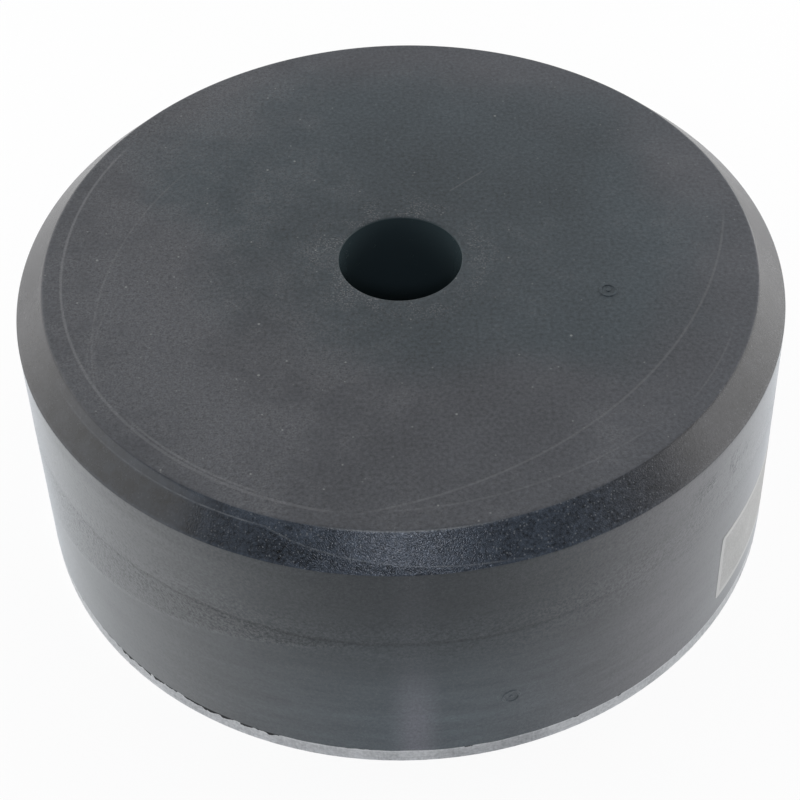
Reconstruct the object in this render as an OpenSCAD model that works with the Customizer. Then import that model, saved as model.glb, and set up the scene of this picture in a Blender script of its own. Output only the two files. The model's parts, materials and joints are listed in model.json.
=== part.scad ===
// Impact buffer: a moulded elastomer block bonded to a round steel base plate.
// It stands on its plate in a lift pit and is held down by one bolt in its middle.
// Origin: centre of the plate's underside. +Z points up to the strike face.

/* [Block] */
// Diameter of the block's wall
block_d = 200; // [120:1:260]
// Height of the whole buffer, from the floor to the strike face
total_h = 80; // [50:1:160]
// Width of the chamfer, measured inwards along the strike face
chamfer_w = 7.5; // [3:0.5:16]
// Height of the chamfer, measured down the wall
chamfer_h = 7.5; // [3:0.5:16]
// Rounding where the chamfer meets the strike face
face_edge_r = 1; // [0.3:0.1:2]
// Rounding where the chamfer meets the wall
wall_edge_r = 0.5; // [0.2:0.1:2]

/* [Access bore] */
// Diameter of the bore that lets the bolt and its socket down to the plate
bore_d = 32; // [26:1:46]
// Rounding of the bore's mouth in the strike face
bore_mouth_r = 0.6; // [0.3:0.1:3]

/* [Base plate] */
// Thickness of the steel plate
plate_t = 5; // [3:0.5:10]
// How far the plate's rim stands back from the block's wall
plate_inset = 0.1; // [0.1:0.1:2]
// Diameter of the hole for the fixing bolt
hole_d = 17.5; // [9:0.5:22]
// Bevel on both edges of the hole
hole_bevel = 0.5; // [0.2:0.1:1]
// Bevel along the rim's upper edge, which the cast lip of the block fills
rim_bevel = 0.6; // [0.3:0.1:1.5]
// Height of the rough band along the rim's lower edge, where the cut broke through
rim_break_h = 1.3; // [0.4:0.1:1.4]
// How far that band slopes inwards
rim_break_w = 0.05; // [0.05:0.05:0.6]

/* [Bond line] */
// Thickness of the adhesive between block and plate
bond_t = 0.3; // [0.1:0.1:1]
// How far the adhesive stays back from the edge of the plate's flat top
bond_inset = 0.3; // [0.2:0.1:3]

/* [Type label] */
// Width of the label, measured round the wall
label_w = 50; // [20:1:80]
// Height of the label
label_h = 24.5; // [10:0.5:30]
// Thickness of the label
label_t = 0.2; // [0.1:0.05:0.5]
// Radius of the label's corners
label_corner_r = 1; // [0.5:0.25:4]
// Height of the label's lower edge above the plate
label_gap = 5.5; // [2:0.5:12]
// Direction of the label's middle round the wall, 0 along +X
label_az = -23; // [-180:1:180]

/* [Hidden] */
$fn = 180;

block_r = block_d / 2;
bore_r = bore_d / 2;
plate_r = block_r - plate_inset;
hole_r = hole_d / 2;
foot_z = plate_t + bond_t;
label_z = plate_t + label_gap;
// Radius of the plate's flat top, and height of the rim's straight part, where the bevel ends
plate_top_r = plate_r - rim_bevel;
rim_top_z = plate_t - rim_bevel;
// Straight width that wraps round the wall to the label's full width
label_chord = 2 * block_r * sin(label_w / block_r * 90 / PI);

// Corners of the profiles, each with its rounding, as [radius from the axis, height, rounding]
block_corners = [
    [bore_r, foot_z, 0],
    [plate_top_r, foot_z, 0],
    [plate_top_r, plate_t, 0],
    [plate_r, rim_top_z, 0],
    [block_r, rim_top_z, 0],
    [block_r, total_h - chamfer_h, wall_edge_r],
    [block_r - chamfer_w, total_h, face_edge_r],
    [bore_r, total_h, bore_mouth_r]
];
plate_corners = [
    [hole_r, hole_bevel, 0],
    [hole_r + hole_bevel, 0, 0],
    [plate_r - rim_break_w, 0, 0],
    [plate_r, rim_break_h, 0],
    [plate_r, rim_top_z, 0],
    [plate_top_r, plate_t, 0],
    [hole_r + hole_bevel, plate_t, 0],
    [hole_r, plate_t - hole_bevel, 0]
];
label_corners = [
    for (c = [[-1, 0], [1, 0], [1, 1], [-1, 1]])
        [c[0] * label_chord / 2, c[1] * label_h, label_corner_r]
];

function flat_point(corner) = [corner[0], corner[1]];
function unit(v) = v / norm(v);
function way(from, to) = unit(flat_point(to) - flat_point(from));
// Half of the angle between the two edges that meet at corner c
function half_angle(a, c, b) = acos(way(c, a) * way(c, b)) / 2;
// Where the rounding of corner c leaves the edge towards its neighbour
function tangent_point(c, towards, half) =
    flat_point(c) + way(c, towards) * c[2] / tan(half);
function rounding_centre(a, c, b, half) =
    flat_point(c) + unit(way(c, a) + way(c, b)) * c[2] / sin(half);

// Outline with true arcs at its rounded corners: the flat-cornered outline,
// with a sector of a circle added at each corner that has a rounding
module rounded_outline(corners) {
    count = len(corners);
    outline = [
        for (i = [0 : count - 1])
            let (a = corners[(i + count - 1) % count], c = corners[i], b = corners[(i + 1) % count])
            let (half = half_angle(a, c, b))
            each c[2] > 0
                ? [tangent_point(c, a, half), tangent_point(c, b, half)]
                : [flat_point(c)]
    ];
    polygon(outline);
    for (i = [0 : count - 1]) {
        if (corners[i][2] > 0) {
            corner_sector(corners[(i + count - 1) % count], corners[i], corners[(i + 1) % count]);
        }
    }
}

// Sector of a circle between the two points where the rounding meets its edges
module corner_sector(a, c, b) {
    half = half_angle(a, c, b);
    centre = rounding_centre(a, c, b, half);
    leg_a = tangent_point(c, a, half) - centre;
    leg_b = tangent_point(c, b, half) - centre;
    intersection() {
        translate(centre) circle(r = c[2]);
        polygon([centre, centre + 2 * leg_a, centre + 2 * (leg_a + leg_b), centre + 2 * leg_b]);
    }
}

// Cast block with its access bore, its chamfer, and the lip that fills the bevel of the plate
module elastomer_block() {
    color("#3c3f42")
        rotate_extrude() rounded_outline(block_corners);
}

// Thin disc of adhesive that holds the block on its plate
module bonding_layer() {
    color("#151515")
        translate([0, 0, plate_t])
            difference() {
                cylinder(r = plate_top_r - bond_inset, h = bond_t);
                translate([0, 0, -bond_t]) cylinder(r = bore_r, h = 3 * bond_t);
            }
}

// Steel disc, cut from sheet, with the hole for the fixing bolt
module base_plate() {
    color("#b4b7ba")
        rotate_extrude() rounded_outline(plate_corners);
}

// Adhesive label, wrapped round the wall
module type_label() {
    color("#c4c6c6")
        intersection() {
            difference() {
                cylinder(r = block_r + label_t, h = total_h);
                translate([0, 0, -total_h]) cylinder(r = block_r, h = 3 * total_h);
            }
            translate([0, 0, label_z])
                rotate([90, 0, label_az + 90])
                    linear_extrude(height = 2 * block_r) rounded_outline(label_corners);
        }
}

elastomer_block();
bonding_layer();
base_plate();
type_label();
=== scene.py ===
# %% [markdown]
# # A lift-pit buffer: one block of cast elastomer on a steel plate
#
# The real object is a bonded moulding. A round, chamfered block of dark polyurethane is cast on a
# steel disc, with one bore in its middle for the fixing bolt, and a blank film label on its wall.
# The engineering model already gives each piece its size and place, so this lesson starts by loading
# it, reads its sizes, and then makes the skin, the torn edge, the label and the finishes around it.

# %% Load the frame
import json
import math
from typing import NamedTuple

import bmesh
import bpy
from mathutils import Matrix, Vector, noise


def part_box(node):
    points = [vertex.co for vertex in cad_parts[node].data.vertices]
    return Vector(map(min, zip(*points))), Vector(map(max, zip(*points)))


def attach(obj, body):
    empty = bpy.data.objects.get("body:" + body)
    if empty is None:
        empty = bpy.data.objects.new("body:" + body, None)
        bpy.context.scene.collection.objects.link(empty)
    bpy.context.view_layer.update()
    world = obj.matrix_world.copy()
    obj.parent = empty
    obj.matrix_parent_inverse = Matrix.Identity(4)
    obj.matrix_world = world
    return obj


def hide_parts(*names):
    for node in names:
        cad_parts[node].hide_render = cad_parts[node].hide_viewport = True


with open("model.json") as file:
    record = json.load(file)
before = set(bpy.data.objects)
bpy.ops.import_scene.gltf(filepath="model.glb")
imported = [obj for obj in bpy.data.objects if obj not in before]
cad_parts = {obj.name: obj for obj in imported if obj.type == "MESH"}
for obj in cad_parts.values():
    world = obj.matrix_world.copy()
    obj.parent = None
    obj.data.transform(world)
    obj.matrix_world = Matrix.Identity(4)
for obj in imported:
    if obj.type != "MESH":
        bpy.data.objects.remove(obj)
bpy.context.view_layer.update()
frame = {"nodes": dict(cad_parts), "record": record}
print("pieces in the frame:", ", ".join(sorted(frame["nodes"])))

# %% [markdown]
# ## Sizes
#
# Everything is in metres. The outer sizes come from the boxes of the loaded pieces and from the access
# bore in the record, so the skin always fits the model it wraps. The small forms that no box tells,
# such as the chamfer and the rounding of its edges, are named here once.

# %% Read the main sizes
MM = 0.001
block_low, block_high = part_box("elastomer_block")
plate_low, plate_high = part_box("base_plate")
label_low, label_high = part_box("type_label")
mounts = {mount["name"]: mount for mount in frame["record"]["mounts"]}

BLOCK_R = (block_high.x - block_low.x) / 2
FACE_Z = block_high.z
LIP_Z = block_low.z
PLATE_R = (plate_high.x - plate_low.x) / 2
PLATE_TOP = plate_high.z
PLATE_FLAT_R = PLATE_R - (PLATE_TOP - LIP_Z)
BORE_R = mounts["access_bore"]["dims"]["r_mm"] * MM
BOND = 0.3 * MM
CHAMFER = 7.5 * MM
FACE_EDGE_R = 1.0 * MM
WALL_EDGE_R = 0.5 * MM
BORE_MOUTH_R = 0.6 * MM
FACE_R = BLOCK_R - CHAMFER
WALL_TOP = FACE_Z - CHAMFER
print(f"block {2 * BLOCK_R / MM:.0f} mm across and {FACE_Z / MM:.0f} mm high, bore {2 * BORE_R / MM:.0f} mm")

# %% [markdown]
# ## The camera
#
# The photograph was taken from the front at about 45 degrees, with a long lens and a slight tilt, and
# it was cropped later, so that the middle of the lens isn't the middle of the picture. That takes a
# lens shift. The camera's place was found by matching the edges of the face, the bore and the foot.
# A camera looks along its own -Z, so a turn about X tips it down, and two small turns follow.

# %% Set up the camera
CAMERA_PLACE = (0, -0.4030, 0.4435)
CAMERA_PITCH = 43.249
CAMERA_YAW = -1.0478
CAMERA_ROLL = -1.8931
LENS = 94.0
SENSOR = 36
LENS_SHIFT = (-0.05, -0.125)


def turn(degrees, axis):
    """A turn about an axis through the origin, as a matrix."""
    return Matrix.Rotation(math.radians(degrees), 4, axis)


def set_up_camera():
    """Adds the camera of the photograph and makes it the scene's."""
    data = bpy.data.cameras.new("camera")
    data.lens = LENS
    data.sensor_width = SENSOR
    data.shift_x, data.shift_y = LENS_SHIFT
    camera = bpy.data.objects.new("camera", data)
    aim = turn(90 - CAMERA_PITCH, "X") @ turn(CAMERA_YAW, "Y") @ turn(CAMERA_ROLL, "Z")
    camera.matrix_world = Matrix.Translation(CAMERA_PLACE) @ aim
    bpy.context.scene.collection.objects.link(camera)
    bpy.context.scene.camera = camera
    bpy.context.scene.view_settings.view_transform = "Standard"
    return camera


print("camera at", tuple(round(c, 3) for c in set_up_camera().location))

# %% [markdown]
# ## Arithmetic for meshes and for shaders
#
# The mould left the same marks in the shape and in the colour of the skin: a line on the face is both
# a small step and a paler streak. The step and the streak could be made separately, but it is easier
# to write the mark once, as a formula of x, y and z. The class below wraps a socket of a shader tree
# and overloads Python's operators, so that one and the same formula moves a vertex when it is given
# numbers and adds Math nodes when it is given sockets.

# %% Wrap a shader socket


class Signal:
    """An output of a shader tree. Arithmetic on it adds Math nodes."""

    def __init__(self, tree, socket=None):
        self.tree = tree
        self.socket = socket

    def node(self, kind, settings=None, inputs=None, output=0):
        """Adds a node: its settings first, then the values or the links of its sockets."""
        added = self.tree.nodes.new(kind)
        for name, value in (settings or {}).items():
            setattr(added, name, value)
        for key, value in (inputs or {}).items():
            if isinstance(value, Signal):
                self.tree.links.new(value.socket, added.inputs[key])
            else:
                added.inputs[key].default_value = value
        return Signal(self.tree, added.outputs[output])

    def feed(self, shader, name):
        """Links this output to a named input of a shader."""
        self.tree.links.new(self.socket, shader.inputs[name])

    def maths(self, operation, *values):
        """Adds a Math node."""
        return self.node("ShaderNodeMath", {"operation": operation}, dict(enumerate(values)))

    def __add__(self, other):
        return self.maths("ADD", self, other)

    def __radd__(self, other):
        return self.maths("ADD", other, self)

    def __sub__(self, other):
        return self.maths("SUBTRACT", self, other)

    def __rsub__(self, other):
        return self.maths("SUBTRACT", other, self)

    def __mul__(self, other):
        return self.maths("MULTIPLY", self, other)

    def __rmul__(self, other):
        return self.maths("MULTIPLY", other, self)

    def __truediv__(self, other):
        return self.maths("DIVIDE", self, other)

    def __rtruediv__(self, other):
        return self.maths("DIVIDE", other, self)

    def __pow__(self, other):
        return self.maths("POWER", self, other)

    def __mod__(self, other):
        return self.maths("MODULO", self, other)

    def __abs__(self):
        return self.maths("ABSOLUTE", self)


print("arithmetic on sockets is ready")

# %% [markdown]
# ## Where the mould left its marks
#
# The inserts of the mould left round lines on the face. Each is an arc here: a piece of a circle that
# shows only over a stretch of azimuth and fades at both ends. The azimuth is counted in degrees from
# +X towards +Y, so the side that faces the camera is at -90.

# %% Name the arcs on the face


class Arc(NamedTuple):
    """A curved line on the face, with the stretch of azimuth over which it shows."""

    centre: tuple
    radius: float
    middle: float
    half: float
    fade: float = 8.0


RING_LINE = Arc(centre=(2.3 * MM, 1.4 * MM), radius=90.0 * MM, middle=-157, half=59)
RING_TWIN = Arc(centre=(2.5 * MM, 1.5 * MM), radius=89.1 * MM, middle=-127, half=17)
SWEEP_LINE = Arc(centre=(-32.2 * MM, 30.4 * MM), radius=119.4 * MM, middle=-44, half=56)
FRONT_LINE = Arc(centre=(-7.7 * MM, 17.4 * MM), radius=104.2 * MM, middle=-70, half=26)
RIGHT_LINE = Arc(centre=(0.5 * MM, -1.0 * MM), radius=87.2 * MM, middle=-29, half=12)
LEFT_LINE = Arc(centre=(21.0 * MM, -22.5 * MM), radius=98.7 * MM, middle=179, half=34)
LOOP_LINE = Arc(centre=(-33.0 * MM, -29.1 * MM), radius=43.7 * MM, middle=-160, half=14)
HOOK_LINE = Arc(centre=(-57.2 * MM, -31.1 * MM), radius=21.2 * MM, middle=-158, half=8, fade=4.0)
print(f"ring on the face: {2 * RING_LINE.radius / MM:.0f} mm across")

# %% [markdown]
# A soft step from 0 to 1 is the brush for nearly every mark, because nothing on a casting starts
# abruptly. A window is a step up and a step down again over a stretch of azimuth.

# %% Write the soft steps


def smoothstep(low, high, value):
    """0 below low, 1 above high and a soft rise between, for a number or for a socket."""
    if isinstance(value, Signal):
        settings = {"interpolation_type": "SMOOTHSTEP"}
        return value.node("ShaderNodeMapRange", settings, {0: value, 1: low, 2: high, 3: 0.0, 4: 1.0})
    share = min(max((value - low) / (high - low), 0.0), 1.0)
    return share * share * (3 - 2 * share)


def window(azimuth, middle, half, fade):
    """1 within half a width of a middle azimuth, 0 outside, in degrees."""
    off = abs((azimuth - middle + 540) % 360 - 180)
    return 1 - smoothstep(half - fade, half, off)


def outside(x, y, arc):
    """How far a point lies outside the circle of an arc."""
    return ((x - arc.centre[0]) ** 2 + (y - arc.centre[1]) ** 2) ** 0.5 - arc.radius


def shown(azimuth, arc):
    """How clearly an arc shows at an azimuth."""
    return window(azimuth, arc.middle, arc.half, arc.fade)


print(f"a soft step, a quarter of the way along: {smoothstep(0, 1, 0.25):.3f}")

# %% [markdown]
# The wall and the chamfer have lines of their own: a dark one where two pours met, the edge of a
# coarse tongue below it, a faint pale one that climbs above it, and a fold on the chamfer. Each is a
# height or a radius that changes with the azimuth, and so it can bend as the real ones do.

# %% Place the lines on the wall and the chamfer
FLOW_Z = 49.0 * MM
FLOW_SAG = 1.5 * MM
FLOW_RISE = 4.0 * MM
FLOW_FALL = 2.5 * MM
FRONT = -90
TONGUE_Z = 48.8 * MM
TONGUE_CLIMB = 0.33 * MM
RISING_Z = 53.0 * MM
RISING_CLIMB = 0.22 * MM
RISING_START = -59
CREASE_R = 94.3 * MM
CREASE_SLIDE = 8.0 * MM
CREASE_CORNER = -110.5
CREASE_HALFWAY = 20


def flow_height(azimuth):
    """Height of the dark line on the wall where two pours of the casting met."""
    sag = FLOW_SAG * smoothstep(-128, -98, azimuth)
    rise = FLOW_RISE * smoothstep(-82, -32, azimuth) - FLOW_FALL * smoothstep(70, 165, azimuth)
    return FLOW_Z - sag + rise


def flow_shown(azimuth):
    """How clear the dark line is: sharp round the front, and faint elsewhere."""
    return 0.3 + 0.7 * window(azimuth, -97, 46, 26)


def tongue_height(azimuth):
    """Height of the lower edge of the coarse tongue that the second pour left on the left side."""
    return TONGUE_Z + TONGUE_CLIMB * (azimuth - FRONT)


def tongue_shown(azimuth):
    """How clearly the tongue shows at an azimuth."""
    return window(azimuth, -126, 38, 16)


def rising_height(azimuth):
    """Height of the faint pale line that climbs the wall above the dark one, at the right."""
    return RISING_Z + RISING_CLIMB * (azimuth - RISING_START)


def crease_radius(azimuth):
    """Radius of the fold on the chamfer: level on the left, then running down to the lower edge."""
    past_corner = (azimuth - CREASE_CORNER + abs(azimuth - CREASE_CORNER)) / 2
    return CREASE_R + CREASE_SLIDE * past_corner / (past_corner + CREASE_HALFWAY)


def crease_shown(azimuth):
    """How clearly the fold shows at an azimuth."""
    return window(azimuth, -114, 44, 14)


print(f"dark line on the wall: {flow_height(FRONT) / MM:.1f} mm above the floor at the front")
print(f"fold on the chamfer: {crease_radius(FRONT) / MM:.1f} mm from the axis at the front")

# %% [markdown]
# ## The moulded block
#
# A turned or moulded round part is one outline spun about an axis. The outline here is a loop of
# straight edges, from the bore over the face, down the chamfer and the wall, round the thin lip that
# hangs over the plate, and back under the block. A rounding turns a corner into the true arc that the
# mould has there, and the rows of faces are fine where the skin needs relief.

# %% Name the corners and the rows of the outline


class Corner(NamedTuple):
    """A corner of the outline: its distance from the axis, its height and its rounding."""

    radius: float
    height: float
    rounding: float = 0


INNER_FACE_R = 72.0 * MM
OUTLINE = [
    Corner(BORE_R, PLATE_TOP + BOND),
    Corner(BORE_R, FACE_Z, BORE_MOUTH_R),
    Corner(INNER_FACE_R, FACE_Z),
    Corner(FACE_R, FACE_Z, FACE_EDGE_R),
    Corner(BLOCK_R, WALL_TOP, WALL_EDGE_R),
    Corner(BLOCK_R, LIP_Z),
    Corner(PLATE_R, LIP_Z),
    Corner(PLATE_FLAT_R, PLATE_TOP),
    Corner(PLATE_FLAT_R, PLATE_TOP + BOND),
]
INNER_FACE_ROW = 1.4 * MM
OUTER_FACE_ROW = 0.4 * MM
CHAMFER_ROW = 0.6 * MM
WALL_ROW = 1.1 * MM
HIDDEN_ROW = 9.0 * MM
TOUCH = 0.01 * MM


def row_length(middle):
    """How long the rows of faces are at a place on the outline."""
    if middle.z > FACE_Z - TOUCH:
        return INNER_FACE_ROW if middle.x < INNER_FACE_R else OUTER_FACE_ROW
    if middle.z > WALL_TOP and middle.x > BORE_R + BORE_MOUTH_R:
        return CHAMFER_ROW
    if middle.x > PLATE_R:
        return WALL_ROW
    return HIDDEN_ROW


print("corners of the outline:", len(OUTLINE))

# %% [markdown]
# The corners become the vertices of a wire. The rounded ones are bevelled first, and then each edge
# is cut into as many rows as its place asks for.

# %% Draw the outline
CORNER_SEGMENTS = 4


def round_corner(mesh, corner, radius):
    """Replaces a corner of a wire by an arc that meets both edges smoothly."""
    first, second = (edge.other_vert(corner).co - corner.co for edge in corner.link_edges)
    turned = math.pi - first.angle(second)
    bmesh.ops.bevel(
        mesh, geom=[corner], offset=radius * math.tan(turned / 2), offset_type="OFFSET",
        segments=CORNER_SEGMENTS, profile=0.5, affect="VERTICES", material=-1,
    )


def draw_outline(mesh, corners):
    """Draws a closed outline in the XZ plane, with its roundings and its rows."""
    points = [mesh.verts.new((corner.radius, 0, corner.height)) for corner in corners]
    for point, following in zip(points, points[1:] + points[:1]):
        mesh.edges.new((point, following))
    for point, corner in zip(points, corners):
        if corner.rounding:
            round_corner(mesh, point, corner.rounding)
    for edge in mesh.edges[:]:
        middle = (edge.verts[0].co + edge.verts[1].co) / 2
        cuts = math.ceil(edge.calc_length() / row_length(middle)) - 1
        if cuts > 0:
            bmesh.ops.subdivide_edges(mesh, edges=[edge], cuts=cuts)


block = bmesh.new()
draw_outline(block, OUTLINE)
print("points on the block's outline:", len(block.verts))

# %% [markdown]
# A spin of many steps gets slow, because each step searches all that the ones before it made. So only
# an eighth of the turn is spun here. It is copied and turned three times, each time doubling what is
# there, and the seams are merged. Afterwards the normals are recalculated, because a spin can turn a
# shape inside out.

# %% Spin the outline
BLOCK_STEPS = 480
WELD = 0.001 * MM
UP = Vector((0, 0, 1))


def spin_round(mesh, steps):
    """Spins a wire in the XZ plane once round the Z axis and points its faces outwards."""
    bmesh.ops.spin(
        mesh, geom=mesh.verts[:] + mesh.edges[:], cent=(0, 0, 0), axis=UP, dvec=(0, 0, 0),
        angle=math.tau / 8, steps=steps // 8, use_merge=False, use_duplicate=False,
    )
    for share in (8, 4, 2):
        copied = bmesh.ops.duplicate(mesh, geom=mesh.verts[:] + mesh.edges[:] + mesh.faces[:])["geom"]
        points = [item for item in copied if isinstance(item, bmesh.types.BMVert)]
        bmesh.ops.rotate(mesh, verts=points, cent=(0, 0, 0), matrix=turn(360 / share, "Z").to_3x3())
    bmesh.ops.remove_doubles(mesh, verts=mesh.verts[:], dist=WELD)
    bmesh.ops.recalc_face_normals(mesh, faces=mesh.faces[:])


spin_round(block, BLOCK_STEPS)
print("faces of the block:", len(block.faces))

# %% [markdown]
# ## Relief in the skin
#
# A cast block is never a perfect turned shape. Its face steps down outside the mould's insert ring,
# the wall waves by a few hundredths of a millimetre, a low step marks where two pours met, and one
# facet of the chamfer was flattened. Each vertex moves along its normal by the sum of these, so the
# relief is real in the mesh, and highlights bend over it.

# %% Write the relief of the face and of the chamfer
FACE_DROPS = [(RING_LINE, 0.05 * MM), (SWEEP_LINE, 0.03 * MM), (FRONT_LINE, 0.03 * MM)]
STEP_WIDTH = 0.5 * MM
FACET_SLOPE = math.tan(math.radians(1.6))
FACET_FADE = 6.0 * MM


def face_relief(x, y, azimuth):
    """How far the steps of the mould lower the face."""
    return -sum(
        drop * shown(azimuth, arc) * smoothstep(-STEP_WIDTH, STEP_WIDTH, outside(x, y, arc))
        for arc, drop in FACE_DROPS
    )


def facet_relief(radius, z, azimuth):
    """How far the flattened facet of the chamfer lies below the plain cone, fading out on the wall."""
    past = max(min(radius, BLOCK_R) - crease_radius(azimuth), 0)
    down_wall = smoothstep(WALL_TOP, WALL_TOP - FACET_FADE, z)
    return -past * FACET_SLOPE * crease_shown(azimuth) * (1 - down_wall)


print(f"the facet falls back by {FACET_SLOPE * (BLOCK_R - CREASE_R) / MM:.2f} mm")

# %% [markdown]
# The waves fade out where the block is seated on the plate and in the bore, so that it still fits
# there, and the step where the pours met is only on the wall. Noise moves that step up and down.

# %% Raise the skin
WAVES = [(34.0 * MM, 0.05 * MM), (11.0 * MM, 0.018 * MM)]
FLOW_STEP = 0.07 * MM
FLOW_WIDTH = 1.2 * MM
FLOW_WOBBLE = 1.5 * MM
FLOW_WOBBLE_LENGTH = 9 * MM
FACE_FADE = 0.3 * MM
BORE_FADE = 4 * MM
SEAT_FADE = 4 * MM


def relief(place):
    """How far the cast skin stands off the plain outline at a place."""
    x, y, z = place
    radius = math.hypot(x, y)
    azimuth = math.degrees(math.atan2(y, x))
    on_face = smoothstep(FACE_Z - FACE_FADE, FACE_Z, z) * smoothstep(BORE_R, BORE_R + BORE_FADE, radius)
    outer = smoothstep(FACE_R - FACE_EDGE_R, FACE_R + FACE_EDGE_R, radius)
    waves = sum(depth * noise.noise(place / length) for length, depth in WAVES)
    wobble = FLOW_WOBBLE * noise.noise(place / FLOW_WOBBLE_LENGTH)
    above = smoothstep(-FLOW_WIDTH, FLOW_WIDTH, z - flow_height(azimuth) + wobble)
    flow_step = FLOW_STEP * flow_shown(azimuth)
    seated = smoothstep(PLATE_TOP, PLATE_TOP + SEAT_FADE, z)
    return (
        on_face * face_relief(x, y, azimuth)
        + waves * max(on_face, outer) * seated
        + outer * (facet_relief(radius, z, azimuth) - flow_step * above * (z < WALL_TOP))
    )


block.normal_update()
moves = [(vertex, vertex.normal * relief(vertex.co)) for vertex in block.verts]
for vertex, move in moves:
    vertex.co += move
print(f"deepest relief: {max(move.length for vertex, move in moves) / MM:.2f} mm")

# %% [markdown]
# The lip at the foot isn't cut straight either: the elastomer crept down the plate's rim a little
# more in one place than in another. Its two bottom rows are raised and lowered by a slow noise. The
# block then becomes an object. Its faces are smooth, apart from edges that turn by more than 35
# degrees, which are marked sharp so that the light doesn't smear round them.

# %% Finish the block's mesh
LIP_CREEP = 0.22 * MM
LIP_CREEP_LENGTH = 6.0 * MM
SHARP_TURN = math.radians(35)


def creep(place, length):
    """A number about 0, between -1 and 1, that changes slowly round the rim."""
    return noise.noise(Vector((place.x, place.y, 0)) / length)


def make_piece(name, mesh):
    """Turns a bmesh into an object with smooth faces and sharp corners."""
    for face in mesh.faces:
        face.smooth = True
    for edge in mesh.edges:
        edge.smooth = len(edge.link_faces) != 2 or edge.calc_face_angle() < SHARP_TURN
    data = bpy.data.meshes.new(name)
    mesh.to_mesh(data)
    mesh.free()
    piece = bpy.data.objects.new(name, data)
    bpy.context.scene.collection.objects.link(piece)
    triangles = sum(len(face.vertices) - 2 for face in data.polygons)
    print(f"{name}: {triangles} triangles")
    return piece


for vertex in block.verts:
    if vertex.co.z < LIP_Z + TOUCH:
        vertex.co.z += LIP_CREEP * creep(vertex.co, LIP_CREEP_LENGTH)
moulded_block = make_piece("moulded_block", block)

# %% [markdown]
# ## The torn flash
#
# Elastomer that leaked out between the mould and the plate was torn off by hand. What is left is a
# thin black fringe under the lip, ragged on the left of the photograph and nearly gone on the right.
# A ring of short rows is extruded from a circle, its rows are pulled down by a rough noise, and
# solidify gives the film its thickness. The depth is a sum of parts: a skirt with blobs and nibbles
# over the torn stretches, a thin thread at the front, and a few spots. A torn stretch is its share of
# the full depth, its middle azimuth, half its width and its fade. A spot is its middle and half width.

# %% Write the depth of the flash
FLASH_STEPS = 1440
FLASH_ROWS = 3
FLASH_TOP = LIP_Z + 0.35 * MM
FLASH_R = BLOCK_R - 0.1 * MM
FLASH_HIDDEN = 0.3 * MM
FLASH_THICKNESS = 0.12 * MM
FLASH_SKIRT = 1.00 * MM
FLASH_BLOBS = 0.50 * MM
FLASH_NIBBLES = 0.3 * MM
FLASH_THREAD = 0.16 * MM
FLASH_RAISED = 0.06 * MM
FLASH_BULGE = 0.06 * MM
FLASH_TEARS = [(1.0, -125, 17, 5), (0.40, -150, 16, 5), (0.4, 60, 100, 40)]
FLASH_SPOTS = [(-66.0, 0.7), (-82.5, 0.8), (-58.5, 0.6), (-47.0, 0.5)]
FLASH_SPOT_DEPTH = 0.5 * MM


def flash_depth(place):
    """How far the torn film hangs below the lip at a place on the rim."""
    azimuth = math.degrees(math.atan2(place.y, place.x))
    torn = sum(share * window(azimuth, *stretch) for share, *stretch in FLASH_TEARS)
    skirt = FLASH_SKIRT * (0.9 + 0.8 * creep(place, 3.1 * MM))
    blobs = FLASH_BLOBS * smoothstep(0.05, 0.45, creep(place, 2.3 * MM))
    nibbles = FLASH_NIBBLES * creep(place, 0.7 * MM)
    spots = sum(FLASH_SPOT_DEPTH * window(azimuth, middle, half, 0.3) for middle, half in FLASH_SPOTS)
    thread = FLASH_THREAD * window(azimuth, -101, 14, 8) * (1 + creep(place, 1.6 * MM))
    return max(torn * (skirt + blobs + nibbles) + thread + spots - FLASH_RAISED, -FLASH_HIDDEN)


print(f"flash at azimuth -125: {flash_depth(turn(-125, 'Z') @ Vector((FLASH_R, 0, 0))) / MM:.2f} mm deep")

# %% [markdown]
# Each extrusion copies the lower rim of the ring, and the copies are pulled down to their share of the
# film's depth and bulged out or in a little.

# %% Make the flash
flash = bmesh.new()
bmesh.ops.create_circle(flash, cap_ends=False, segments=FLASH_STEPS, radius=FLASH_R)
bmesh.ops.translate(flash, verts=flash.verts[:], vec=UP * FLASH_TOP)
lower_rim = flash.edges[:]
for row in range(1, FLASH_ROWS + 1):
    pulled = bmesh.ops.extrude_edge_only(flash, edges=lower_rim)["geom"]
    lower_rim = [item for item in pulled if isinstance(item, bmesh.types.BMEdge)]
    for vertex in (item for item in pulled if isinstance(item, bmesh.types.BMVert)):
        lowest = LIP_Z - flash_depth(vertex.co)
        vertex.co.z = FLASH_TOP + (lowest - FLASH_TOP) * row / FLASH_ROWS
        bulge = FLASH_BULGE * creep(vertex.co, 1.3 * MM) * row / FLASH_ROWS
        vertex.co += Vector((vertex.co.x, vertex.co.y, 0)).normalized() * bulge
bmesh.ops.recalc_face_normals(flash, faces=flash.faces[:])
bmesh.ops.solidify(flash, geom=flash.faces[:], thickness=FLASH_THICKNESS)
bmesh.ops.recalc_face_normals(flash, faces=flash.faces[:])
torn_flash = make_piece("torn_flash", flash)

# %% [markdown]
# ## The label
#
# The label is a pale film that sticks to the wall and bends with it. It is drawn flat, as a rounded
# rectangle whose X is the length round the wall, cut into strips so that it can bend, and rolled onto
# the wall by turning that length into an azimuth. One corner has let go a little, as old labels do.

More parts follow.
